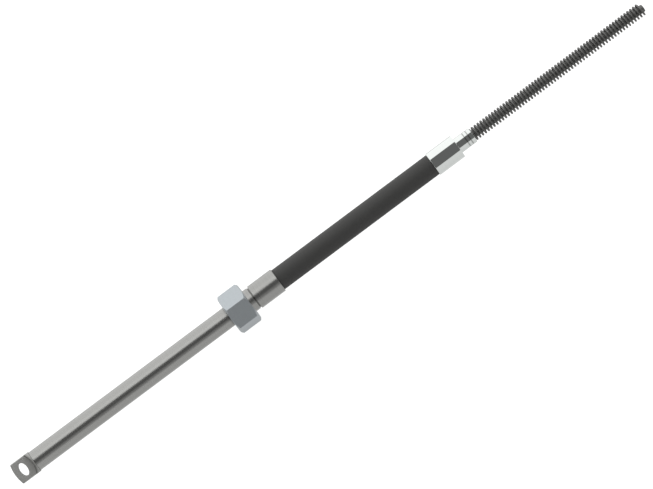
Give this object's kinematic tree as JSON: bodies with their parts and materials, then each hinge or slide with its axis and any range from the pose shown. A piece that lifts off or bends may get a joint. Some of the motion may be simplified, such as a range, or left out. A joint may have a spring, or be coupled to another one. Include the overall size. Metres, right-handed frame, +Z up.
{
  "type": "boat control cable",
  "caption": "Straight rotary steering cable: link eye on a sliding ram, loose hexagon nut on a swaged ferrule, black casing, bright input sleeve and wound inner cable.",
  "frame": {"origin": "middle of the cable's length, on the floor plane under the nut's lowest flat", "axes": "+X along the cable from the link eye to the free tip of the wound core, +Z up, with the link eye's flat turned 45 degrees between -Y and +Z"},
  "size_m": [0.5762, 0.0342, 0.0296],
  "materials": {
    "forged_steel": "fine milled, satin",
    "ground_steel": "ground, satin",
    "swaged_steel": "drawn, satin",
    "plated_steel": "bright zinc plate, slightly blue",
    "polished_steel": "polished",
    "black_plastic": "extruded, matte",
    "wire_steel": "drawn wire, lightly greased"
  },
  "bodies": {
    "casing": {"sheath": "black_plastic", "ferrule": "swaged_steel", "guide_tube": "ground_steel", "input_sleeve": "polished_steel"},
    "ram": {"eye_end": "forged_steel", "ram_tube": "ground_steel", "core_cable": "wire_steel", "core_winding": "wire_steel"},
    "loose_nut": {"nut": "plated_steel"}
  },
  "joints": [
    {"name": "ram_slide", "type": "slide", "parent": "casing", "child": "ram", "axis": [-1, 0, 0], "range_m": [0, 0.15]},
    {"name": "nut_spin", "type": "hinge", "parent": "casing", "child": "loose_nut", "pos_m": [-0.0828, 0, 0.0148], "axis": [1, 0, 0], "continuous": true}
  ]
}
